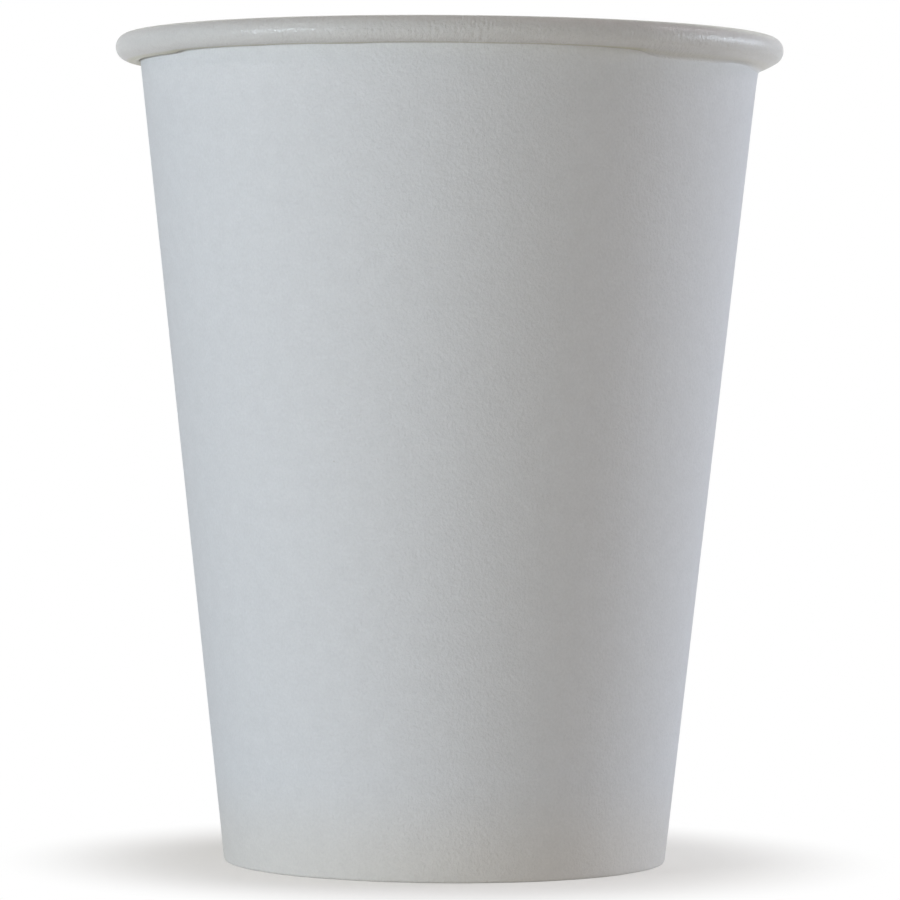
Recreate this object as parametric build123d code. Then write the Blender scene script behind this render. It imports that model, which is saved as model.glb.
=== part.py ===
from build123d import *
from math import asin, atan2, cos, degrees, hypot, radians, sin
from typing import NamedTuple
import os

# Paper hot-drink cup: a cone of coated paperboard with a lapped side seam, a rolled rim and
# a bottom whose skirt is held in the folded foot of the wall. Millimetres, +Z up, with the
# origin on the table at the middle of the foot. The cup's front faces -Y.

# Overall sizes
rim_diameter = 90.0  # over the rolled rim
foot_diameter = 59.6  # outside of the wall, carried down its cone to the table
cup_height = 111.2  # table to the top of the rolled rim

# Boards. Each has its coated face towards the drink.
wall_board = 0.35
bottom_board = 0.30
coating_film = 0.04  # melted coating left between two faces that are sealed together

# Rolled rim: the board turns outwards at the bead's size, then tucks in more tightly
bead_diameter = 3.45
tuck_clearance = 0.05  # from the tucked turn to the outer layer of the side seam
tuck_turn = 90.0  # degrees, from the underside of the bead up to the board's edge beside the wall

# Side seam, at the back
seam_bearing = 97.0  # degrees about Z from +X, to the inner layer's edge
lap_angle = 11.0  # degrees in which the board lies double
step_angle = 2.0  # degrees in which the outer layer climbs over the inner layer's edge

# Foot
bottom_recess = 7.2  # table to the underside of the bottom
shoulder_radius = 0.8  # coated face, where the bottom turns down into its skirt
hem_edge_gap = 0.2  # from the shoulder's bend down to the hem's free edge
skirt_edge_gap = 0.25  # from the skirt's free edge down to the foot's fold
foot_pressing = 0.06  # how far the fold is pressed flat where the cup stands


class Straight(NamedTuple):
    """A length of flat board."""

    length: float


class Bend(NamedTuple):
    """A bend in the board: degrees turned to the left of travel, and the coated face's radius."""

    turn: float
    radius: float


def board_face(route, start, heading, depth):
    """One face of a board that lies `depth` to the right of its coated face, as a chain of edges."""
    place = start + depth * Vector(1, 0).rotate(Axis.Z, heading - 90)
    edges = []
    for step in route:
        along = Vector(1, 0).rotate(Axis.Z, heading)
        if isinstance(step, Straight):
            edges.append(Line(place, place + step.length * along))
        else:
            side = 1 if step.turn > 0 else -1
            edges.append(JernArc(place, along, step.radius + side * depth, step.turn))
            heading += step.turn
        place = edges[-1] @ 1
    return edges


def board_section(route, start, heading, near, far):
    """The section of a board between two depths behind its coated face, in the XZ plane."""
    near_face = board_face(route, start, heading, near)
    far_face = board_face(route, start, heading, far)
    cut_edges = [Line(near_face[0] @ 0, far_face[0] @ 0), Line(near_face[-1] @ 1, far_face[-1] @ 1)]
    return Plane.XZ * make_face(near_face + far_face + cut_edges)


# The wall's slope. Its outer face runs from the foot to the far side of the bead's board.
bead_radius = bead_diameter / 2
bead_centre = Vector(rim_diameter / 2 - bead_radius, cup_height - bead_radius)
foot_corner = Vector(foot_diameter / 2, 0)
reach = bead_centre - foot_corner
slope = degrees(atan2(reach.X, reach.Y) - asin((bead_radius - wall_board) / hypot(reach.X, reach.Y)))
up_wall = Vector(sin(radians(slope)), cos(radians(slope)))
out_of_wall = Vector(cos(radians(slope)), -sin(radians(slope)))


def beside_wall(height, depth):
    """The point at a height that lies `depth` inside the wall's outer face."""
    return foot_corner + Vector((height * up_wall.X - depth) / up_wall.Y, height)


# The foot's fold. Its slot holds the bottom's skirt with a film of coating on both sides.
fold_radius = bottom_board / 2 + coating_film
fold_centre = beside_wall(fold_radius + wall_board - foot_pressing, wall_board + fold_radius)

# The bottom's shoulder, against the wall's coated face
shoulder_centre = beside_wall(
    bottom_recess + bottom_board - shoulder_radius, wall_board + coating_film + shoulder_radius
)
skirt_top = (shoulder_centre - fold_centre).dot(up_wall)
hem_length = skirt_top - hem_edge_gap
skirt_length = skirt_top - skirt_edge_gap

# The tucked turn of the bead keeps clear of the wall by the seam's outer layer and a little more.
tuck_gap = wall_board + tuck_clearance
tuck_radius = bead_radius - (wall_board + tuck_gap) / (1 + up_wall.X)


def cup_wall():
    """The wall: one board, from the hem's free edge round the foot, up the cone and round the rim."""
    wall_length = (bead_centre - fold_centre).dot(up_wall)
    hem_edge = fold_centre - fold_radius * out_of_wall + hem_length * up_wall
    hem_heading = -90 - slope
    route = [
        Straight(hem_length),
        Bend(180, fold_radius),
        Straight(wall_length),
        Bend(slope - 270, bead_radius),
        Bend(-tuck_turn, tuck_radius),
    ]
    single = board_section(route, hem_edge, hem_heading, 0, wall_board)
    lapped = board_section(route, hem_edge, hem_heading, wall_board, 2 * wall_board)

    # The board starts at the seam's bearing, goes all the way round, steps out and laps its start.
    round_cup = Rot(Z=seam_bearing) * revolve(single, Axis.Z, 360 - step_angle)
    lap = Rot(Z=seam_bearing) * revolve(lapped, Axis.Z, lap_angle)
    step = loft([Rot(Z=seam_bearing - step_angle) * single, Rot(Z=seam_bearing) * lapped], ruled=True)

    # The fold is pressed flat on the table, most of all where the seam lies double.
    return split(round_cup + lap + step, Plane.XY, keep=Keep.TOP)


def cup_bottom():
    """The bottom: a flat disc whose edge turns down into a skirt along the wall."""
    route = [
        Straight(shoulder_centre.X),
        Bend(-90 - slope, shoulder_radius),
        Straight(skirt_length),
    ]
    middle = Vector(0, shoulder_centre.Y + shoulder_radius)
    return revolve(board_section(route, middle, 0, 0, bottom_board), Axis.Z)


os.makedirs("parts", exist_ok=True)
for name, piece in {"cup_wall": cup_wall(), "cup_bottom": cup_bottom()}.items():
    piece.label = name
    export_step(piece, f"parts/{name}.step")
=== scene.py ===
from math import asin, atan2, cos, pi, radians, sin
from typing import NamedTuple

import bpy
from bpy.props import FloatProperty, FloatVectorProperty, IntProperty, PointerProperty
from mathutils import Matrix, Vector


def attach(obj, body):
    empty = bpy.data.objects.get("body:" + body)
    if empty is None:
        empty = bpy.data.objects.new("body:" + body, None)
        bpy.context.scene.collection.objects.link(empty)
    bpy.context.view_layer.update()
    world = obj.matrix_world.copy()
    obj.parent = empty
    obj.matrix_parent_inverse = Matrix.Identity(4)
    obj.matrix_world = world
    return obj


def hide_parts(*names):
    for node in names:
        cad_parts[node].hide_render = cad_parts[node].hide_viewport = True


bl_info = {
    "name": "Paper Hot Cup",
    "version": (1, 0, 0),
    "blender": (4, 5, 0),
    "location": "3D View > Sidebar > Paper Cup",
    "description": "Paper cup with a lapped seam, a rolled rim and a bottom held in its folded foot",
    "category": "Add Mesh",
}

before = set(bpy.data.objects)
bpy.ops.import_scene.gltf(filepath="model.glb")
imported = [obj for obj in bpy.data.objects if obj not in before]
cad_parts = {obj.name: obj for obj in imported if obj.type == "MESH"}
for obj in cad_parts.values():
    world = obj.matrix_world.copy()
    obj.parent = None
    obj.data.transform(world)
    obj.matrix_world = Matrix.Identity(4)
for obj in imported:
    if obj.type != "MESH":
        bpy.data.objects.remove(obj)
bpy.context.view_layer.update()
MM = 0.001
ROUNDING = 0.01 * MM  # less than any span of board
SHARP_TURN = radians(50)  # an edge that turns more than this stays sharp, as at the board's cut edges


# Sizes and colours


def length(name, description, default_mm):
    """A length property in metres, with its default given in millimetres."""
    return FloatProperty(
        name=name, description=description, default=default_mm * MM, min=0, precision=5, unit="LENGTH"
    )


def angle(name, description, default_degrees):
    """An angle property, with its default given in degrees."""
    return FloatProperty(
        name=name, description=description, default=radians(default_degrees), unit="ROTATION"
    )


def colour(name, description, default):
    """A linear colour property."""
    return FloatVectorProperty(
        name=name, description=description, default=default, size=3, min=0, max=1, subtype="COLOR"
    )


class PaperCupShape(bpy.types.PropertyGroup):
    """Sizes of the cup, as its two pieces of board are cut, rolled and folded."""

    rim_diameter: length("Rim Diameter", "Over the rolled rim", 90.0)
    foot_diameter: length("Foot Diameter", "Outside of the wall, carried down its cone to the table", 59.6)
    cup_height: length("Cup Height", "Table to the top of the rolled rim", 111.2)
    wall_board: length("Wall Board", "Thickness of the wall's board", 0.35)
    bottom_board: length("Bottom Board", "Thickness of the bottom's board", 0.30)
    coating_film: length("Coating Film", "Melted coating between two faces that are sealed together", 0.04)
    bead_diameter: length("Bead Diameter", "Section of the rolled rim", 3.45)
    tuck_clearance: length("Tuck Clearance", "From the tucked turn to the outer layer of the side seam", 0.05)
    tuck_turn: angle("Tuck Turn", "From the underside of the bead up to the board's edge", 90.0)
    seam_bearing: angle("Seam Bearing", "About Z from +X to the inner layer's edge of the side seam", 97.0)
    lap_angle: angle("Lap Angle", "Turn in which the wall's board lies double", 11.0)
    step_angle: angle("Step Angle", "Turn in which the outer layer climbs over the inner layer's edge", 2.0)
    bottom_recess: length("Bottom Recess", "Table to the underside of the bottom", 7.2)
    shoulder_radius: length("Shoulder Radius", "Where the bottom turns down into its skirt", 0.8)
    hem_edge_gap: length("Hem Edge Gap", "From the shoulder's bend down to the hem's free edge", 0.2)
    skirt_edge_gap: length("Skirt Edge Gap", "From the skirt's free edge down to the foot's fold", 0.25)
    foot_pressing: length("Foot Pressing", "How far the fold is pressed flat where the cup stands", 0.06)
    lip_opening: FloatProperty(
        name="Lip Opening", description="How far the rolled rim opens where its curl is loose", default=1.0,
        min=0, max=1, subtype="FACTOR",
    )
    wall_waviness: length("Wall Waviness", "Depth of the faint upright waves in the wall", 0.03)
    foot_unevenness: length("Foot Unevenness", "How far the fold rises off the table in places", 0.06)
    bottom_bow: length("Bottom Bow", "How far the middle of the bottom bows down", 0.1)
    seed: IntProperty(name="Seed", description="Chooses the waves and wrinkles", default=7, min=0)


class PaperCupFinish(bpy.types.PropertyGroup):
    """Colours of the board."""

    bare_colour: colour("Bare Board", "Uncoated face, on the outside of the wall", (0.700, 0.712, 0.728))
    # painted warm floor bounce and painted shade: the bare face darker and warmer at the folded foot
    foot_bounce_shade_colour: colour("Foot", "Uncoated face at the folded foot, warmed by sealing", (0.700, 0.685, 0.662))
    coated_colour: colour("Coated Board", "Coated face, inside and on the rim", (0.622, 0.618, 0.606))
    # painted shade and warm bounce of the crease under the rolled rim; the cut edges take this colour too
    crease_shade_colour: colour("Rim Lip", "Coated face at the curl's end, yellowed by heat", (0.560, 0.545, 0.430))
    fleck_colour: colour("Flecks", "Specks of bark in the board", (0.38, 0.34, 0.29))


class PaperCupStage(bpy.types.PropertyGroup):
    """Floor, lamps and camera."""

    floor_colour: colour("Floor", "Pale studio floor", (0.96, 0.93, 0.88))
    shadow_start: length("Shadow Start", "From the cup's axis to where its shadow starts to fade", 30.0)
    shadow_end: length("Shadow End", "From the cup's axis to where its shadow has faded to white", 62.0)
    camera_distance: length("Camera Distance", "From the cup's axis", 649.45)
    camera_height: length("Camera Height", "Above the table", 68.05)
    camera_lens: FloatProperty(name="Lens", description="Focal length in millimetres", default=192.04)
    camera_pitch: angle("Camera Pitch", "Up from level", -1.10627)
    camera_roll: angle("Camera Roll", "About the line of sight", 0.37683)
    camera_yaw: angle("Camera Yaw", "Left of the cup's axis", -0.03524)
    lamp_power: FloatProperty(
        name="Lamp Power", description="Power of a lamp at full strength", default=10.0, min=0, unit="POWER"
    )
    ambient: colour("Ambient", "Even light from all round", (0.090, 0.085, 0.085))


def placed(name, data):
    """A new object, linked into the scene."""
    item = bpy.data.objects.new(name, data)
    bpy.context.collection.objects.link(item)
    return item


# Node trees


class Wiring:
    """Adds nodes to a tree and links them. Sockets are named, and a plain value sets a socket's default."""

    def __init__(self, tree):
        self.tree = tree

    def add(self, kind, values=None, **settings):
        """A new node with its settings, and its inputs linked or set."""
        node = self.tree.nodes.new(kind)
        for name, value in settings.items():
            setattr(node, name, value)
        for name, value in (values or {}).items():
            socket = node.inputs[name]
            if isinstance(name, str):
                socket = next(socket for socket in node.inputs if socket.name == name and socket.enabled)
            self.feed(socket, value)
        return node

    def blend(self, factor, a, b, kind="VECTOR"):
        """A mix of two vectors, numbers or colours."""
        return self.add("ShaderNodeMix", {"Factor": factor, "A": a, "B": b}, data_type=kind)

    def curve(self, value, points):
        """A number read from a curve through points, over 0 to 1."""
        node = self.add("ShaderNodeFloatCurve", {"Value": value})
        line = node.mapping.curves[0]
        line.points[0].location, line.points[-1].location = points[0], points[-1]
        for point in points[1:-1]:
            line.points.new(*point)
        node.mapping.update()
        return node

    def feed(self, socket, value):
        """Links an output to a socket, or sets the socket."""
        if isinstance(value, bpy.types.Node):
            value = next(output for output in value.outputs if output.enabled)
        if isinstance(value, bpy.types.NodeSocket):
            self.tree.links.new(value, socket)
        else:
            socket.default_value = value

    def maths(self, operation, *terms):
        """One Math node."""
        return self.add("ShaderNodeMath", dict(enumerate(terms)), operation=operation)

    def vector(self, operation, *terms):
        """One Vector Math node. Scale takes its number last."""
        if operation == "SCALE":
            return self.add("ShaderNodeVectorMath", {0: terms[0], "Scale": terms[1]}, operation=operation)
        return self.add("ShaderNodeVectorMath", dict(enumerate(terms)), operation=operation)

    def xyz(self, x=0.0, y=0.0, z=0.0):
        """A vector from three numbers."""
        return self.add("ShaderNodeCombineXYZ", {"X": x, "Y": y, "Z": z})

    def parts(self, vector):
        """The three numbers of a vector."""
        return self.add("ShaderNodeSeparateXYZ", {"Vector": vector}).outputs

    def ramp(self, value, low, high, to_low=0.0, to_high=1.0, smooth=True):
        """A value carried from one range to another, eased at both ends."""
        kind = "SMOOTHSTEP" if smooth else "LINEAR"
        values = {"Value": value, "From Min": low, "From Max": high, "To Min": to_low, "To Max": to_high}
        return self.add("ShaderNodeMapRange", values, interpolation_type=kind)

    def noise(self, vector, scale, detail=2.0, roughness=0.5, **settings):
        """Noise from 0 to 1."""
        values = {"Vector": vector, "Scale": scale, "Detail": detail, "Roughness": roughness}
        return self.add("ShaderNodeTexNoise", values, **settings).outputs[0]


class Forming(Wiring):
    """A Geometry Nodes tree with named inputs for its sizes."""

    def __init__(self, name):
        super().__init__(bpy.data.node_groups.new(name, "GeometryNodeTree"))
        self.tree.interface.new_socket("Geometry", in_out="INPUT", socket_type="NodeSocketGeometry")
        self.tree.interface.new_socket("Geometry", in_out="OUTPUT", socket_type="NodeSocketGeometry")
        self.entry = self.tree.nodes.new("NodeGroupInput")
        self.exit = self.tree.nodes.new("NodeGroupOutput")

    def wants(self, name, kind="Float", subtype=None):
        """A named input of the tree."""
        socket = self.tree.interface.new_socket(name, in_out="INPUT", socket_type=f"NodeSocket{kind}")
        if subtype:
            socket.subtype = subtype
        return self.entry.outputs[name]

    def given(self, *names):
        """Named inputs that the tree already has."""
        return [self.entry.outputs[name] for name in names]

    def wire(self, name):
        """A named input that takes a wire, with its geometry and its number of points."""
        info = self.add("GeometryNodeObjectInfo", {"Object": self.wants(name, "Object")})
        wire = info.outputs["Geometry"]
        count = self.add("GeometryNodeAttributeDomainSize", {"Geometry": wire}, component="MESH")
        return wire, count.outputs["Point Count"]

    def along(self, wire, index, attribute=None, kind="FLOAT_VECTOR"):
        """A wire's position or attribute at one of its points."""
        if attribute:
            value = self.add("GeometryNodeInputNamedAttribute", {"Name": attribute}, data_type=kind)
            value = value.outputs["Attribute"]
        else:
            value = self.add("GeometryNodeInputPosition")
        return self.add(
            "GeometryNodeSampleIndex", {"Geometry": wire, "Value": value, "Index": index},
            data_type=kind, domain="POINT", clamp=True,
        )

    def around(self, radius, bearing, height=0.0):
        """The place at a radius, a bearing and a height."""
        return self.xyz(
            self.maths("MULTIPLY", radius, self.maths("COSINE", bearing)),
            self.maths("MULTIPLY", radius, self.maths("SINE", bearing)),
            height,
        )

    def captured(self, geometry, domain, value):
        """The geometry, and a value kept on it as it is now."""
        node = self.add("GeometryNodeCaptureAttribute", {"Geometry": geometry}, domain=domain)
        node.capture_items.new("FLOAT", "Value")
        self.feed(node.inputs["Value"], value)
        return node.outputs["Geometry"], node.outputs["Value"]

    def finished(self, geometry, face_side, coated, bare, cut):
        """Sharp cut edges, no instances, and a material for each side of the board and for its cut edges."""
        turn = self.add("GeometryNodeInputMeshEdgeAngle").outputs["Unsigned Angle"]
        rounded = self.maths("LESS_THAN", turn, SHARP_TURN)
        geometry = self.add(
            "GeometryNodeSetShadeSmooth", {"Geometry": geometry, "Shade Smooth": rounded}, domain="EDGE"
        )
        geometry = self.add("GeometryNodeRealizeInstances", {"Geometry": geometry})
        sides = (
            (cut, None),
            (coated, self.maths("LESS_THAN", face_side, 0.25)),
            (bare, self.maths("GREATER_THAN", face_side, 0.75)),
        )
        for material, selection in sides:
            values = {"Geometry": geometry, "Material": material}
            if selection:
                values["Selection"] = selection
            geometry = self.add("GeometryNodeSetMaterial", values)
        self.feed(self.exit.inputs["Geometry"], geometry)


def kept_blank(form, sheet, blank):
    """The sheet, with its place on the flat blank stored as a UV map."""
    return form.add(
        "GeometryNodeStoreNamedAttribute", {"Geometry": sheet, "Name": "blank", "Value": blank},
        data_type="FLOAT2", domain="CORNER",
    )


def formed(tree, name, inputs):
    """The plain mesh object that a tree makes with these inputs."""
    maker = placed(f"{name}_maker", bpy.data.meshes.new(f"{name}_maker"))
    modifier = maker.modifiers.new("Form", "NODES")
    modifier.node_group = tree
    for item in tree.interface.items_tree:
        if item.in_out == "INPUT" and item.name in inputs:
            modifier[item.identifier] = inputs[item.name]
    missing = set(inputs) - {item.name for item in tree.interface.items_tree}
    if missing:
        raise RuntimeError(f"{tree.name} has no input named {sorted(missing)}")
    bpy.context.view_layer.update()
    graph = bpy.context.evaluated_depsgraph_get()
    evaluated = maker.evaluated_get(graph)
    mesh = bpy.data.meshes.new_from_object(evaluated, preserve_all_data_layers=True, depsgraph=graph)
    maker.modifiers.remove(modifier)
    bpy.data.objects.remove(maker)
    for wire in [value for value in inputs.values() if isinstance(value, bpy.types.Object)]:
        bpy.data.objects.remove(wire)
    if not mesh.polygons:
        raise RuntimeError(f"{name} came out empty")
    mesh.name = name
    return placed(name, mesh)


# The board's route


class Straight(NamedTuple):
    """A length of flat board, and the number of spans that it is drawn in."""

    length: float
    spans: int


class Bend(NamedTuple):
    """A bend in the board: radians turned to the left of travel, the coated face's radius, and its spans."""

    turn: float
    radius: float
    spans: int


class RoutePoint(NamedTuple):
    """A point of the coated face, the direction to the bare face, and the distance along the board."""

    place: Vector
    behind: Vector
    travel: float


def board_route(steps, start, heading):
    """Points of a board's coated face in the XZ plane, as (radius, height)."""
    place, travel = Vector(start), 0.0

    def right(direction):
        return Vector((sin(direction), -cos(direction)))

    points = [RoutePoint(place.copy(), right(heading), travel)]
    for step in steps:
        for _ in range(step.spans):
            if isinstance(step, Straight):
                span = step.length / step.spans
                place = place + span * Vector((cos(heading), sin(heading)))
                travel += span
            else:
                turn = step.turn / step.spans
                side = 1 if turn > 0 else -1
                centre = place - side * step.radius * right(heading)
                heading += turn
                place = centre + side * step.radius * right(heading)
                travel += abs(turn) * step.radius
            points.append(RoutePoint(place.copy(), right(heading), travel))
    return points


def wire_object(name, places, **attributes):
    """A wire through places, with attributes on its points."""
    mesh = bpy.data.meshes.new(name)
    mesh.from_pydata(places, [(i, i + 1) for i in range(len(places) - 1)], [])
    for key, values in attributes.items():
        wide = hasattr(values[0], "__len__")
        layer = mesh.attributes.new(key, "FLOAT_VECTOR" if wide else "FLOAT", "POINT")
        flat = [number for value in values for number in value] if wide else values
        layer.data.foreach_set("vector" if wide else "value", flat)
    return placed(name, mesh)


def route_wire(name, points, **attributes):
    """A route as a wire in the XZ plane."""
    return wire_object(
        name,
        [(p.place.x, 0, p.place.y) for p in points],
        behind=[(p.behind.x, 0, p.behind.y) for p in points],
        travel=[p.travel for p in points],
        **attributes,
    )


UNDER_RIM = 7 * MM  # the top of the wall, drawn in closer spans
OPEN_LIP_HEADING = radians(150)  # below level, inwards, where an opened curl leaves the bead
OPEN_LIP_LENGTH = 2.13 * MM  # from the bead to where the opened lip turns down
FLARE_RADIUS = 1.5 * MM  # where the opened lip turns down along the wall
THIN_EDGE = 1.7 * MM  # the edge of an opened lip, pressed thin
LIP_SPRING = 1.0 * MM  # before the underside of the bead, where the tucked lip starts to spring back
LIP_CLEARANCE = 0.07 * MM  # left between the sprung lip and the wall
SEAM_MARGIN = 0.02  # radians past the lap, where the lip still keeps clear
SPRING_EASE = 0.12  # radians in which the lip springs back beside the seam

# How open the curl is, by bearing: the turn from the back towards -X and the front, and the opening
LIP_OPENING = (
    (0.000, 0.04), (0.060, 0.01), (0.110, 0.07), (0.160, 0.02), (0.215, 0.12), (0.275, 0.34), (0.330, 0.36),
    (0.342, 0.26), (0.352, 0.05), (0.385, 0.02), (0.400, 0.04), (0.413, 0.02), (0.434, 0.05), (0.447, 0.10),
    (0.460, 0.03), (0.470, 0.00), (0.503, 0.00), (0.518, 0.06), (0.534, 0.04), (0.556, 0.07), (0.580, 0.17),
    (0.597, 0.38), (0.612, 0.68), (0.628, 0.79), (0.645, 0.78), (0.662, 0.72), (0.682, 0.64), (0.700, 0.67),
    (0.720, 0.77), (0.750, 0.74), (0.790, 0.30), (0.830, 0.06), (0.890, 0.10), (0.950, 0.02), (1.000, 0.04),
)


class CupForm:
    """The cup's section, worked out from its sizes."""

    def __init__(self, shape):
        self.shape = shape
        board = shape.wall_board
        self.bead_radius = shape.bead_diameter / 2
        self.bead_centre = Vector(
            (shape.rim_diameter / 2 - self.bead_radius, shape.cup_height - self.bead_radius)
        )
        self.foot_corner = Vector((shape.foot_diameter / 2, 0))
        reach = self.bead_centre - self.foot_corner
        self.slope = atan2(reach.x, reach.y) - asin((self.bead_radius - board) / reach.length)
        self.up_wall = Vector((sin(self.slope), cos(self.slope)))
        self.out_of_wall = Vector((cos(self.slope), -sin(self.slope)))
        self.fold_radius = shape.bottom_board / 2 + shape.coating_film
        self.fold_centre = self.beside_wall(
            self.fold_radius + board - shape.foot_pressing, board + self.fold_radius
        )
        self.shoulder_centre = self.beside_wall(
            shape.bottom_recess + shape.bottom_board - shape.shoulder_radius,
            board + shape.coating_film + shape.shoulder_radius,
        )
        self.skirt_top = (self.shoulder_centre - self.fold_centre).dot(self.up_wall)
        self.hem_length = self.skirt_top - shape.hem_edge_gap
        self.wall_length = (self.bead_centre - self.fold_centre).dot(self.up_wall)
        self.roll_start = self.hem_length + pi * self.fold_radius + self.wall_length
        self.under_bead = self.roll_start + (1.5 * pi - self.slope) * self.bead_radius
        self.tuck_gap = board + shape.tuck_clearance
        self.tuck_radius = self.bead_radius - (board + self.tuck_gap) / (1 + self.up_wall.x)
        self.lip_end = self.under_bead + shape.tuck_turn * self.tuck_radius
        self.from_tip = shape.foot_diameter / 2 / sin(self.slope)

    def beside_wall(self, height, depth):
        """The point at a height that lies at a depth inside the wall's outer face."""
        return self.foot_corner + Vector(((height * self.up_wall.x - depth) / self.up_wall.y, height))

    def wall_route(self, opened=False):
        """From the hem's free edge round the foot, up the cone and round the rim.

        The curl tucks up beside the wall. Where it is opened, it runs in and flares down along the wall,
        in as many spans, so that a point of one route has its match in the other.
        """
        shape = self.shape
        start = self.fold_centre - self.fold_radius * self.out_of_wall + self.hem_length * self.up_wall
        steps = [
            Straight(self.hem_length, 6),
            Bend(pi, self.fold_radius, 8),
            Straight(self.wall_length - UNDER_RIM, 22),
            Straight(UNDER_RIM, 10),
        ]
        if opened:
            steps += [
                Bend(self.slope - pi / 2 - OPEN_LIP_HEADING, self.bead_radius, 30),
                Straight(OPEN_LIP_LENGTH, 4),
                Bend(OPEN_LIP_HEADING - pi / 2 - self.slope, FLARE_RADIUS, 8),
            ]
        else:
            steps += [
                Bend(self.slope - 1.5 * pi, self.bead_radius, 34),
                Bend(-shape.tuck_turn, self.tuck_radius, 8),
            ]
        return board_route(steps, start, -pi / 2 - self.slope)

    def bottom_route(self):
        """From the middle of the bottom out to its shoulder and down its skirt."""
        shape = self.shape
        start = Vector((0, self.shoulder_centre.y + shape.shoulder_radius))
        steps = [
            Straight(self.shoulder_centre.x, 16),
            Bend(-pi / 2 - self.slope, shape.shoulder_radius, 8),
            Straight(self.skirt_top - shape.skirt_edge_gap, 6),
        ]
        return board_route(steps, start, 0.0)


# Board finishes

# Patterns in the board, in cells per metre
CLOUDS = 420
FLECKS = 330
PEBBLES = 1900
WRINKLES = 1500
GRAIN = 2900
FELT = 1400
FIBRE_ENDS = 9000

NOISE_SPREAD = (0.3, 0.7)  # where most values of a noise lie
FLECK_SIZE = (0.012, 0.034)  # from a fleck's full middle to its faded edge, in cells
PLAIN_SHARE = 0.96  # of the cells, which hold no fleck
FOOT_BOUNCE_FADE = 14 * MM  # how far up the wall the painted warm bounce and shade of the foot fade out
CREASE_SHADE_RAMP = (0.65 * MM, 0.1 * MM)  # before the underside of the bead, where the painted shade and warm bounce of the crease come in
WRINKLE_EASE = 1.5 * MM  # from the top of the wall to full wrinkles


def board_material(name):
    """A new material with its principled shader, ready to be wired."""
    material = bpy.data.materials.new(name)
    material.use_nodes = True
    wiring = Wiring(material.node_tree)
    shader = next(node for node in material.node_tree.nodes if node.type == "BSDF_PRINCIPLED")
    return material, wiring, shader


def paper_tone(wiring, where, base, fleck, cloudiness, graininess):
    """The board's colour over its base colour: cloudy, finely grained and with rare dark flecks."""
    cloud = wiring.noise(where, CLOUDS, 3, 0.6)
    stretched = wiring.vector("MULTIPLY", where, (1.0, 0.75, 1.0))
    grain = wiring.noise(stretched, GRAIN, 3, 0.75)
    clouded = wiring.ramp(cloud, *NOISE_SPREAD, 1 - cloudiness, 1 + cloudiness)
    tone = wiring.maths("ADD", clouded, wiring.ramp(grain, *NOISE_SPREAD, -graininess, graininess))
    plain = wiring.vector("SCALE", base, tone)

    # A few cells hold a fleck, stronger in some than in others.
    cells = wiring.add(
        "ShaderNodeTexVoronoi", {"Vector": where, "Scale": FLECKS, "Randomness": 1.0}, feature="F1"
    )
    luck, strength, _ = wiring.parts(cells.outputs["Color"])
    speck = wiring.ramp(cells.outputs["Distance"], *FLECK_SIZE, 1.0, 0.0)
    chosen = wiring.maths("GREATER_THAN", luck, PLAIN_SHARE)
    marked = wiring.maths("MULTIPLY", speck, wiring.maths("MULTIPLY", chosen, strength))
    return wiring.blend(marked, plain, (*fleck, 1), "RGBA"), grain, cloud


def bare_board_material(finish, form):
    """Uncoated paperboard: matt and fibrous, with painted warm floor bounce and painted shade that make it
    darker and warmer towards the wall's foot.
    """
    material, wiring, shader = board_material("bare_board")
    where = wiring.add("ShaderNodeUVMap", uv_map="blank").outputs["UV"]
    from_tip = wiring.vector("LENGTH", where).outputs["Value"]
    # Painted warm floor bounce and shade, fading out up the wall from the foot's fold
    fold_end = form.from_tip + form.roll_start - form.wall_length
    foot = wiring.ramp(from_tip, fold_end + FOOT_BOUNCE_FADE, fold_end)
    base = wiring.blend(foot, tuple(finish.bare_colour), tuple(finish.foot_bounce_shade_colour))
    tone, grain, _ = paper_tone(wiring, where, base, finish.fleck_colour, 0.014, 0.030)
    wiring.feed(shader.inputs["Base Color"], tone)
    shader.inputs["Roughness"].default_value = 0.92
    shader.inputs["Specular IOR Level"].default_value = 0.1
    felt = wiring.noise(where, FELT, 2)
    height = wiring.maths("ADD", grain, wiring.maths("MULTIPLY", felt, 0.8))
    bump = wiring.add("ShaderNodeBump", {"Height": height, "Strength": 0.7, "Distance": 0.12 * MM})
    wiring.feed(shader.inputs["Normal"], bump)
    return material


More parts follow.
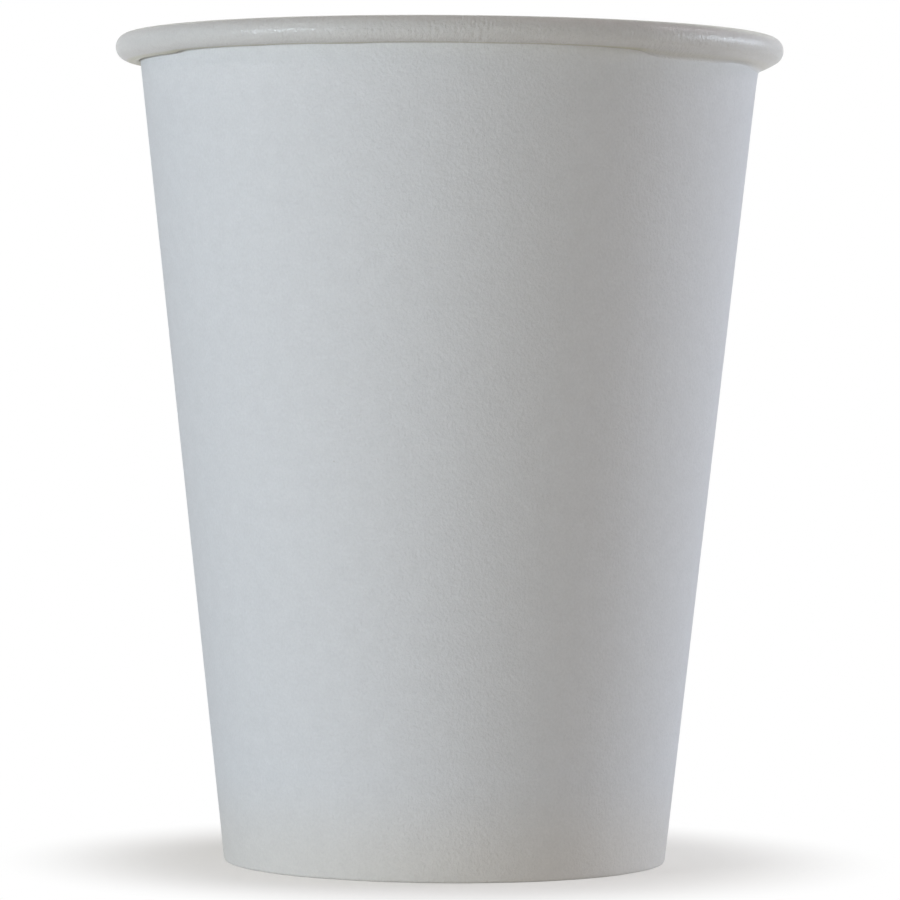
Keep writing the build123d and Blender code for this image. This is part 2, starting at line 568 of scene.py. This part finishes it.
def coated_board_material(finish, form):
    """Board under a thin clear film, wrinkled where it is rolled, and painted darker and yellower towards its
    lip with the crease's shade and warm bounce.
    """
    material, wiring, shader = board_material("coated_board")
    where = wiring.add("ShaderNodeUVMap", uv_map="blank").outputs["UV"]

    # The rim's board, by its distance from the tip of the cone that the blank is cut from
    x, y, _ = wiring.parts(where)
    from_tip = wiring.vector("LENGTH", where).outputs["Value"]
    roll_start = form.from_tip + form.roll_start
    under_bead = form.from_tip + form.under_bead
    flared = wiring.add("ShaderNodeAttribute", attribute_name="flared").outputs["Fac"]
    # The lip is painted with the crease's shade and warm bounce, less where the curl is opened.
    lip = wiring.ramp(from_tip, *(under_bead - before for before in CREASE_SHADE_RAMP))
    lip = wiring.maths("MULTIPLY", lip, wiring.ramp(flared, 0.0, 1.0, 1.0, 0.25))
    base = wiring.blend(lip, tuple(finish.coated_colour), tuple(finish.crease_shade_colour))

    # Where the lip flares on to the wall, its thin edge takes on the wall's lighter bare colour: painted
    # light over the shade of this down-facing edge.
    lip_end = form.from_tip + form.lip_end
    thin = wiring.maths("MULTIPLY", wiring.ramp(from_tip, lip_end - THIN_EDGE, lip_end), flared)
    base = wiring.blend(thin, base, tuple(finish.bare_colour))
    tone, grain, cloud = paper_tone(wiring, where, base, finish.fleck_colour, 0.012, 0.034)
    wiring.feed(shader.inputs["Base Color"], tone)
    wiring.feed(shader.inputs["Roughness"], wiring.ramp(cloud, *NOISE_SPREAD, 0.44, 0.56))
    shader.inputs["Specular IOR Level"].default_value = 0.1
    shader.inputs["Coat Weight"].default_value = 0.37
    shader.inputs["Coat Roughness"].default_value = 0.15

    # Wrinkles run over the bead from the wall to the lip, and are mostly pressed out where it flares.
    swing = wiring.maths("MULTIPLY", wiring.maths("ARCTAN2", x, y), roll_start)
    drawn = wiring.xyz(swing, wiring.maths("MULTIPLY", from_tip, 0.12))
    wrinkle = wiring.noise(drawn, WRINKLES, 3, 0.6)
    wrinkle = wiring.maths("MULTIPLY", wrinkle, wiring.ramp(from_tip, roll_start, roll_start + WRINKLE_EASE))
    wrinkle = wiring.maths("MULTIPLY", wrinkle, wiring.ramp(flared, 0.0, 1.0, 1.0, 0.3))
    pebble = wiring.noise(where, PEBBLES, 2)
    height = wiring.maths("ADD", grain, wiring.maths("MULTIPLY", pebble, 0.8))
    height = wiring.maths("ADD", height, wiring.maths("MULTIPLY", wrinkle, 0.8))
    for socket, relief in (("Normal", 0.16 * MM), ("Coat Normal", 0.055 * MM)):
        bump = wiring.add("ShaderNodeBump", {"Height": height, "Strength": 0.9, "Distance": relief})
        wiring.feed(shader.inputs[socket], bump)
    return material


def cut_edge_material(finish):
    """The board's cut edge: soft, slightly open fibres, in the colour of the painted crease shade."""
    material, wiring, shader = board_material("cut_edge")
    where = wiring.add("ShaderNodeTexCoord").outputs["Object"]
    fibres = wiring.noise(where, FIBRE_ENDS, 2)
    shade = wiring.ramp(fibres, *NOISE_SPREAD, 0.94, 1.03)
    # The cut edge takes the colour of the painted crease shade.
    wiring.feed(shader.inputs["Base Color"], wiring.vector("SCALE", tuple(finish.crease_shade_colour), shade))
    shader.inputs["Roughness"].default_value = 0.95
    shader.inputs["Specular IOR Level"].default_value = 0.2
    bump = wiring.add("ShaderNodeBump", {"Height": fibres, "Strength": 0.5, "Distance": 0.04 * MM})
    wiring.feed(shader.inputs["Normal"], bump)
    return material


def board_finishes():
    """The three finishes of board, made once."""
    made = bpy.data.materials
    if "bare_board" not in made:
        finish = bpy.context.scene.paper_cup_finish
        form = CupForm(bpy.context.scene.paper_cup_shape)
        bare_board_material(finish, form)
        coated_board_material(finish, form)
        cut_edge_material(finish)
    return {
        "Coated Face": made["coated_board"],
        "Bare Face": made["bare_board"],
        "Cut Edge": made["cut_edge"],
    }


# The wall

# Spans round the cup: on one layer, in the step, and where the board lies double
ROUND_SPANS = 510
STEP_SPANS = 10
LAP_SPANS = 18

LEAST_FALL = 1e-4  # keeps the squeeze finite where the board stands upright

# Chance unevenness, read from a noise on a ring. A larger ring passes through more of the noise.
WAVE_RING = 3.4
LIFT_RING = 3.0
RISE_PER_METRE = 14.0  # of height, so the waves are long and upright
WAVE_FOOT = (2 * MM, 20 * MM)  # heights between which the waves come in
LIFT_TOP = 6 * MM  # height at which the lift of the fold has faded out

# The bulge under an opened lip: where it comes in and goes out, down from the bead's underside
BULGE_FOOT = (4.25 * MM, 0.75 * MM)
BULGE_TOP = (-1.65 * MM, 0.45 * MM)
BULGE_DEPTH = 0.05 * MM


def column_bearings(shape):
    """Bearings of the wall's columns, from the inner edge of the seam to the outer, closer in the step."""
    start = shape.seam_bearing
    step_start = start + 2 * pi - shape.step_angle
    step_end = start + 2 * pi
    end = step_end + shape.lap_angle
    spans = (
        (start, step_start, ROUND_SPANS), (step_start, step_end, STEP_SPANS), (step_end, end, LAP_SPANS)
    )
    bearings = [start]
    for low, high, count in spans:
        bearings += [low + (high - low) * (i + 1) / count for i in range(count)]
    return bearings


def board_sheet(form, rows, columns):
    """A box that is one board thick, and the side, column and row of each of its points.

    Its X runs round the cup, its Y along the route and its Z through the board, so its faces close the
    sheet on all sides.
    """
    last_column = form.maths("SUBTRACT", columns, 1.0)
    last_row = form.maths("SUBTRACT", rows, 1.0)
    sheet = form.add(
        "GeometryNodeMeshCube",
        {
            "Size": form.xyz(last_column, last_row, 1.0),
            "Vertices X": columns, "Vertices Y": rows, "Vertices Z": 2,
        },
    ).outputs["Mesh"]
    across, up, through = form.parts(form.add("GeometryNodeInputPosition"))
    side = form.maths("ADD", through, 0.5)
    sheet, face_side = form.captured(sheet, "FACE", side)
    column = form.maths("ROUND", form.maths("MULTIPLY_ADD", last_column, 0.5, across))
    row = form.maths("ROUND", form.maths("MULTIPLY_ADD", last_row, 0.5, up))
    return sheet, face_side, side, column, row


def curled_route(form, route, opened, row, loose):
    """The coated face's place and the direction to the bare face, with the curl opened where it is loose."""
    place = form.blend(loose, form.along(route, row), form.along(opened, row))
    behind = form.blend(loose, form.along(route, row, "behind"), form.along(opened, row, "behind"))
    return place, form.vector("NORMALIZE", behind)


def lip_spring(form, bearing, travel, loose):
    """How far the tucked lip springs back against the wall, except over the seam, which lies double."""
    seam, lap, step, gap = form.given("Seam Bearing", "Lap Angle", "Step Angle", "Lip Gap")
    tucked = form.ramp(travel, *form.given("Lip Start", "Lip End"))
    after_lap = form.maths("ADD", form.maths("ADD", seam, lap), SEAM_MARGIN)
    before_step = form.maths("SUBTRACT", form.maths("ADD", seam, 2 * pi - SPRING_EASE), step)
    single = form.maths(
        "MULTIPLY", form.ramp(bearing, after_lap, form.maths("ADD", after_lap, SPRING_EASE)),
        form.ramp(bearing, before_step, form.maths("SUBTRACT", before_step, SPRING_EASE)),
    )
    tight = form.maths("SUBTRACT", 1.0, loose)
    spring = form.maths("MULTIPLY", form.maths("MULTIPLY", tucked, single), tight)
    return form.maths("MULTIPLY", spring, gap)


def seam_climb(form, bearing):
    """How far the outer layer has climbed from the cone on to the inner layer, from 0 to 1."""
    seam, step = form.given("Seam Bearing", "Step Angle")
    lap_start = form.maths("ADD", seam, 2 * pi)
    return form.ramp(bearing, form.maths("SUBTRACT", lap_start, step), lap_start)


def lip_thinning(form, travel, loose):
    """What the edge of an opened lip keeps of its thickness."""
    (lip_end,) = form.given("Lip End")
    edge = form.ramp(travel, form.maths("SUBTRACT", lip_end, THIN_EDGE), lip_end)
    pressed = form.maths("MULTIPLY", edge, form.ramp(loose, 0.3, 0.65, 0.0, 0.9))
    return form.maths("SUBTRACT", 1.0, pressed)


def foot_squeeze(form, bearing, climb, place, behind):
    """What the fold keeps of its thickness where the table presses the layers that lie under it."""
    board, seam, lap = form.given("Board", "Seam Bearing", "Lap Angle")
    falls = form.maths("MAXIMUM", form.maths("MULTIPLY", form.parts(behind)[2], -1.0), LEAST_FALL)
    room = form.maths("DIVIDE", form.parts(place)[2], falls)
    under_lap = form.maths("LESS_THAN", bearing, form.maths("ADD", seam, lap))
    layers = form.maths("ADD", form.maths("MAXIMUM", climb, under_lap), 1.0)
    return form.maths("MINIMUM", form.maths("DIVIDE", room, form.maths("MULTIPLY", board, layers)), 1.0)


def wall_wave(form, seeded_ring, on_wall, height):
    """Faint upright waves in the wall, none at its foot."""
    (waviness,) = form.given("Waviness")
    wave = form.noise(seeded_ring(WAVE_RING), 2.2, 3.0, 0.55)
    on_wall = form.maths("MULTIPLY", on_wall, form.ramp(height, *WAVE_FOOT))
    return form.maths("MULTIPLY", form.maths("MULTIPLY", wave, waviness), on_wall)


def lip_bulge(form, on_wall, height, loose):
    """A slight bulge of the wall under the opened lip."""
    (underside,) = form.given("Bead Underside")
    foot = form.ramp(height, *(form.maths("SUBTRACT", underside, drop) for drop in BULGE_FOOT))
    top = form.ramp(height, *(form.maths("SUBTRACT", underside, drop) for drop in BULGE_TOP))
    bulge = form.maths("MULTIPLY", form.maths("MULTIPLY", foot, top), on_wall)
    return form.maths("MULTIPLY", bulge, form.ramp(loose, 0.3, 0.7, 0.0, BULGE_DEPTH))


def foot_lift(form, seeded_ring, height):
    """How far the fold rises off the table in places."""
    (unevenness,) = form.given("Foot Unevenness")
    lift = form.noise(seeded_ring(LIFT_RING), 1.8, 2.0)
    at_foot = form.ramp(height, LIFT_TOP, 0.0)
    return form.maths("MULTIPLY", form.ramp(lift, 0.45, 0.75, 0.0, unevenness), at_foot)


def wall_blank(form, bearing, travel):
    """Where each point lies on the flat blank, which is a sector about the cone's tip."""
    foot_radius, slope = form.given("Foot Radius", "Slope")
    from_tip = form.maths("ADD", form.maths("DIVIDE", foot_radius, form.maths("SINE", slope)), travel)
    swing = form.maths("MULTIPLY", form.maths("SUBTRACT", bearing, 1.5 * pi), form.maths("SINE", slope))
    return form.xyz(
        form.maths("MULTIPLY", from_tip, form.maths("SINE", swing)),
        form.maths("MULTIPLY", from_tip, form.maths("COSINE", swing)),
    )


def wall_tree():
    """One board swept round the cup, with its edges lapped at the seam."""
    form = Forming("Rolled Cup Wall")
    route, rows = form.wire("Route")
    opened, _ = form.wire("Opened Route")
    bearings, columns = form.wire("Bearings")
    for name in ("Board", "Foot Radius", "Waviness", "Foot Unevenness", "Bead Underside"):
        form.wants(name, subtype="DISTANCE")
    for name in ("Lip Start", "Lip End", "Lip Gap"):
        form.wants(name, subtype="DISTANCE")
    for name in ("Seam Bearing", "Lap Angle", "Step Angle", "Slope"):
        form.wants(name, subtype="ANGLE")
    (board,) = form.given("Board")
    opening = form.wants("Lip Opening")
    seed = form.wants("Seed", "Int")
    finishes = [form.wants(name, "Material") for name in ("Coated Face", "Bare Face", "Cut Edge")]

    sheet, face_side, side, column, row = board_sheet(form, rows, columns)
    bearing = form.parts(form.along(bearings, column))[0]
    travel = form.along(route, row, "travel", "FLOAT")
    on_wall = form.maths("SUBTRACT", 1.0, form.along(route, row, "rolled", "FLOAT"))

    # The curl is looser in some places than in others.
    turn = form.maths("FRACT", form.maths("DIVIDE", form.maths("SUBTRACT", bearing, pi / 2), 2 * pi))
    loose = form.maths("MULTIPLY", form.curve(turn, LIP_OPENING), opening)
    place, behind = curled_route(form, route, opened, row, loose)
    place = form.vector("SUBTRACT", place, form.xyz(lip_spring(form, bearing, travel, loose)))
    height = form.parts(place)[2]

    # How deep each point lies behind the coated face
    climb = seam_climb(form, bearing)
    depth = form.maths("MULTIPLY", board, form.maths("ADD", side, climb))
    depth = form.maths("MULTIPLY", depth, lip_thinning(form, travel, loose))
    depth = form.maths("MULTIPLY", depth, foot_squeeze(form, bearing, climb, place, behind))

    # Where the noises are read
    ring = form.around(1.0, bearing)
    seeded = form.xyz(0.0, 0.0, form.maths("MULTIPLY_ADD", height, RISE_PER_METRE, seed))

    def seeded_ring(size):
        return form.vector("ADD", form.vector("SCALE", ring, size), seeded)

    depth = form.maths("SUBTRACT", depth, wall_wave(form, seeded_ring, on_wall, height))
    depth = form.maths("ADD", depth, lip_bulge(form, on_wall, height, loose))

    section = form.vector("ADD", place, form.vector("SCALE", behind, depth))
    radius, _, height = form.parts(section)
    lifted = form.maths("ADD", height, foot_lift(form, seeded_ring, height))
    swept = form.around(radius, bearing, lifted)

    sheet = kept_blank(form, sheet, wall_blank(form, bearing, travel))
    sheet = form.add(
        "GeometryNodeStoreNamedAttribute",
        {"Geometry": sheet, "Name": "flared", "Value": form.ramp(loose, 0.2, 0.6)},
        data_type="FLOAT", domain="POINT",
    )
    sheet = form.add("GeometryNodeSetPosition", {"Geometry": sheet, "Position": swept})
    form.finished(sheet, face_side, *finishes)
    return form.tree


class PAPERCUP_OT_wall(bpy.types.Operator):
    """Rolls the wall from one board: its lapped seam, folded foot and rolled rim."""

    bl_idname = "paper_cup.wall"
    bl_label = "Cup Wall"

    def execute(self, context):
        shape = context.scene.paper_cup_shape
        form = CupForm(shape)
        points = form.wall_route()
        rolled = [float(point.travel > form.roll_start - ROUNDING) for point in points]
        route = route_wire("wall_route", points, rolled=rolled)
        bearings = wire_object("wall_bearings", [(b, 0, 0) for b in column_bearings(shape)])
        inputs = {
            "Route": route, "Opened Route": route_wire("opened_route", form.wall_route(opened=True)),
            "Bearings": bearings, "Board": shape.wall_board, "Seam Bearing": shape.seam_bearing,
            "Lap Angle": shape.lap_angle, "Step Angle": shape.step_angle, "Slope": form.slope,
            "Foot Radius": shape.foot_diameter / 2, "Lip Opening": shape.lip_opening,
            "Waviness": shape.wall_waviness, "Foot Unevenness": shape.foot_unevenness,
            "Lip Start": form.under_bead - LIP_SPRING, "Lip End": form.lip_end,
            "Lip Gap": form.tuck_gap - LIP_CLEARANCE,
            "Bead Underside": form.bead_centre.y - form.bead_radius, "Seed": shape.seed,
            **board_finishes(),
        }
        wall = formed(wall_tree(), "rolled_wall", inputs)
        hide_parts("cup_wall")
        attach(wall, "root")
        return {"FINISHED"}


# The bottom

BOTTOM_COLUMNS = 240
RIPPLES = 90  # cells per metre
RIPPLE_DEPTH = 0.08 * MM
SAME_PLACE = 0.001 * MM  # points this near each other are one


def bottom_tree():
    """A board turned about the cup's axis: both of its faces and its cut edge, closed at the middle."""
    form = Forming("Pressed Cup Bottom")
    route, rows = form.wire("Route")
    columns = form.wants("Columns", "Int")
    board = form.wants("Board", subtype="DISTANCE")
    bow = form.wants("Bow", subtype="DISTANCE")
    shoulder = form.wants("Shoulder Reach", subtype="DISTANCE")
    seed = form.wants("Seed", "Int")
    finishes = [form.wants(name, "Material") for name in ("Coated Face", "Bare Face", "Cut Edge")]

    loop = form.maths("MULTIPLY", rows, 2.0)
    last_loop = form.maths("SUBTRACT", loop, 1.0)
    sheet = form.add(
        "GeometryNodeMeshGrid",
        {
            "Size X": columns, "Size Y": last_loop,
            "Vertices X": form.maths("ADD", columns, 1.0), "Vertices Y": loop,
        },
    ).outputs["Mesh"]
    across, up, _ = form.parts(form.add("GeometryNodeInputPosition"))
    column = form.maths("ROUND", form.maths("MULTIPLY_ADD", columns, 0.5, across))
    place_in_loop = form.maths("ROUND", form.maths("MULTIPLY_ADD", last_loop, 0.5, up))
    side = form.maths("GREATER_THAN", place_in_loop, form.maths("SUBTRACT", rows, 0.5))
    sheet, face_side = form.captured(sheet, "FACE", side)
    row = form.maths("MINIMUM", place_in_loop, form.maths("SUBTRACT", last_loop, place_in_loop))
    bearing = form.maths("MULTIPLY", form.maths("DIVIDE", column, columns), 2 * pi)

    place = form.along(route, row)
    behind = form.along(route, row, "behind")
    travel = form.along(route, row, "travel", "FLOAT")
    section = form.vector("ADD", place, form.vector("SCALE", behind, form.maths("MULTIPLY", side, board)))
    radius, _, height = form.parts(section)

    # The disc bows down inside its shoulder and ripples a little.
    inward = form.maths("MAXIMUM", form.maths("SUBTRACT", 1.0, form.maths("DIVIDE", travel, shoulder)), 0.0)
    sag = form.maths("MULTIPLY", form.ramp(inward, 0.0, 1.0), bow)
    ripple = form.noise(form.around(radius, bearing, form.maths("MULTIPLY", seed, 0.01)), RIPPLES, 1.0)
    ripple = form.maths("MULTIPLY", ripple, RIPPLE_DEPTH)
    ripple = form.maths("MULTIPLY", form.ramp(inward, 0.0, 0.25), ripple)
    height = form.maths("SUBTRACT", form.maths("SUBTRACT", height, sag), ripple)
    turned = form.around(radius, bearing, height)
    sheet = kept_blank(form, sheet, form.around(travel, bearing))
    sheet = form.add("GeometryNodeSetPosition", {"Geometry": sheet, "Position": turned})
    sheet = form.add("GeometryNodeMergeByDistance", {"Geometry": sheet, "Distance": SAME_PLACE})
    form.finished(sheet, face_side, *finishes)
    return form.tree


class PAPERCUP_OT_bottom(bpy.types.Operator):
    """Presses the bottom from a round blank: its disc, shoulder and skirt."""

    bl_idname = "paper_cup.bottom"
    bl_label = "Cup Bottom"

    def execute(self, context):
        shape = context.scene.paper_cup_shape
        form = CupForm(shape)
        inputs = {
            "Route": route_wire("bottom_route", form.bottom_route()), "Columns": BOTTOM_COLUMNS,
            "Board": shape.bottom_board, "Bow": shape.bottom_bow, "Shoulder Reach": form.shoulder_centre.x,
            "Seed": shape.seed, **board_finishes(),
        }
        bottom = formed(bottom_tree(), "pressed_bottom", inputs)
        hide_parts("cup_bottom")
        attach(bottom, "root")
        return {"FINISHED"}


# The stage

FLOOR_REACH = 6.0  # metres from its middle to each side
LAMP_TARGET = (0, 0, 60 * MM)  # the middle of the cup
NEAR_WHITE = 0.4  # how far the floor is lifted to white beside the cup, for the camera


class Lamp(NamedTuple):
    """A soft lamp: degrees from the front towards +X, place and size in metres, and strength by colour."""

    name: str
    bearing: float
    distance: float
    height: float
    size: tuple
    strength: tuple


LAMPS = (
    Lamp("left_window", -56, 0.90, 0.085, (0.25, 0.08), (0.352, 0.395, 0.432)),
    Lamp("left_high", -57, 0.72, 0.65, (0.55, 0.03), (0.058, 0.052, 0.047)),
    Lamp("front_fill", 20, 0.90, 0.075, (0.25, 0.12), (0.084, 0.079, 0.066)),
    Lamp("right_window", 108, 0.90, 0.15, (0.60, 0.26), (0.312, 0.350, 0.398)),
    Lamp("right_high", 105, 0.72, 0.62, (0.35, 0.03), (0.090, 0.080, 0.090)),
    Lamp("back_rim", 172, 0.90, 0.50, (0.80, 0.25), (0.060, 0.066, 0.055)),
    Lamp("overhead", 0, 0.0, 1.10, (0.90, 0.90), (0.175, 0.150, 0.128)),
)


def area_lamp(lamp, target, power):
    """A soft rectangular lamp that faces a target."""
    light = bpy.data.lights.new(lamp.name, "AREA")
    light.shape = "RECTANGLE"
    light.size, light.size_y = lamp.size
    strongest = max(lamp.strength)
    light.energy = power * strongest
    light.color = [level / strongest for level in lamp.strength]
    holder = placed(lamp.name, light)
    turn = radians(lamp.bearing)
    holder.location = (lamp.distance * sin(turn), -lamp.distance * cos(turn), lamp.height)
    holder.rotation_euler = (Vector(target) - holder.location).to_track_quat("-Z", "Y").to_euler()


def pale_floor(stage):
    """A wide floor that looks white to the camera and in the shine, but for the shadow round the foot."""
    mesh = bpy.data.meshes.new("floor")
    corners = [(x * FLOOR_REACH, y * FLOOR_REACH, 0) for x, y in ((-1, -1), (1, -1), (1, 1), (-1, 1))]
    mesh.from_pydata(corners, [], [(0, 1, 2, 3)])
    floor = placed("floor", mesh)
    material, wiring, shader = board_material("pale_floor")
    shader.inputs["Base Color"].default_value = (*stage.floor_colour, 1)
    shader.inputs["Roughness"].default_value = 0.9
    shader.inputs["Specular IOR Level"].default_value = 0.1
    glow = wiring.add("ShaderNodeEmission", {"Color": (1, 1, 1, 1), "Strength": 1.0})
    where = wiring.add("ShaderNodeTexCoord").outputs["Object"]
    distance = wiring.vector("LENGTH", where).outputs["Value"]
    far = wiring.ramp(distance, stage.shadow_start, stage.shadow_end, NEAR_WHITE, 1.0)
    path = wiring.add("ShaderNodeLightPath").outputs
    seen = wiring.maths("MAXIMUM", path["Is Camera Ray"], path["Is Glossy Ray"])
    mix = wiring.add("ShaderNodeMixShader", {0: wiring.maths("MULTIPLY", seen, far), 1: shader, 2: glow})
    output = next(node for node in material.node_tree.nodes if node.type == "OUTPUT_MATERIAL")
    wiring.feed(output.inputs["Surface"], mix)
    mesh.materials.append(material)


def studio_world(stage):
    """Even light from all round, with a white background behind the cup and in its shine."""
    world = bpy.data.worlds.new("studio")
    world.use_nodes = True
    bpy.context.scene.world = world
    wiring = Wiring(world.node_tree)
    path = wiring.add("ShaderNodeLightPath").outputs
    seen = wiring.maths("MAXIMUM", path["Is Camera Ray"], path["Is Glossy Ray"])
    ambient = next(node for node in world.node_tree.nodes if node.type == "BACKGROUND")
    ambient.inputs["Color"].default_value = (*stage.ambient, 1)
    ambient.inputs["Strength"].default_value = 1.0
    white = wiring.add("ShaderNodeBackground", {"Color": (1, 1, 1, 1), "Strength": 1.0})
    mix = wiring.add("ShaderNodeMixShader", {0: seen, 1: ambient, 2: white})
    output = next(node for node in world.node_tree.nodes if node.type == "OUTPUT_WORLD")
    wiring.feed(output.inputs["Surface"], mix)


def photo_camera(stage):
    """The camera, where the photo's was."""
    camera = bpy.data.cameras.new("camera")
    camera.sensor_width = 36.0
    camera.lens = stage.camera_lens
    holder = placed("camera", camera)
    stand = Matrix.Translation((0, -stage.camera_distance, stage.camera_height))
    yaw = Matrix.Rotation(stage.camera_yaw, 4, "Z")
    pitch = Matrix.Rotation(pi / 2 + stage.camera_pitch, 4, "X")
    holder.matrix_world = stand @ yaw @ pitch @ Matrix.Rotation(stage.camera_roll, 4, "Z")
    bpy.context.scene.camera = holder


class PAPERCUP_OT_stage(bpy.types.Operator):
    """Sets up the floor, the soft studio lamps and the camera."""

    bl_idname = "paper_cup.stage"
    bl_label = "Studio Stage"

    def execute(self, context):
        stage = context.scene.paper_cup_stage
        pale_floor(stage)
        studio_world(stage)
        for lamp in LAMPS:
            area_lamp(lamp, LAMP_TARGET, stage.lamp_power)
        photo_camera(stage)
        context.scene.view_settings.view_transform = "Standard"
        return {"FINISHED"}


# Registration


class PAPERCUP_PT_panel(bpy.types.Panel):
    """Lists the cup's sizes and the pieces that can be made."""

    bl_idname = "PAPERCUP_PT_panel"
    bl_label = "Paper Cup"
    bl_space_type = "VIEW_3D"
    bl_region_type = "UI"
    bl_category = "Paper Cup"

    def draw(self, context):
        layout = self.layout
        for group in GROUPS:
            settings = getattr(context.scene, group)
            column = layout.column()
            for name in settings.bl_rna.properties.keys():
                if name not in ("rna_type", "name"):
                    column.prop(settings, name)
        for operator in OPERATORS:
            layout.operator(operator.bl_idname)


GROUPS = {
    "paper_cup_shape": PaperCupShape,
    "paper_cup_finish": PaperCupFinish,
    "paper_cup_stage": PaperCupStage,
}
OPERATORS = (PAPERCUP_OT_wall, PAPERCUP_OT_bottom, PAPERCUP_OT_stage)
CLASSES = (*GROUPS.values(), *OPERATORS, PAPERCUP_PT_panel)


def register():
    for item in CLASSES:
        bpy.utils.register_class(item)
    for name, group in GROUPS.items():
        setattr(bpy.types.Scene, name, PointerProperty(type=group))


def unregister():
    for name in GROUPS:
        delattr(bpy.types.Scene, name)
    for item in reversed(CLASSES):
        bpy.utils.unregister_class(item)


def main():
    register()
    bpy.ops.paper_cup.wall()
    bpy.ops.paper_cup.bottom()
    bpy.ops.paper_cup.stage()


if __name__ == "__main__":
    main()
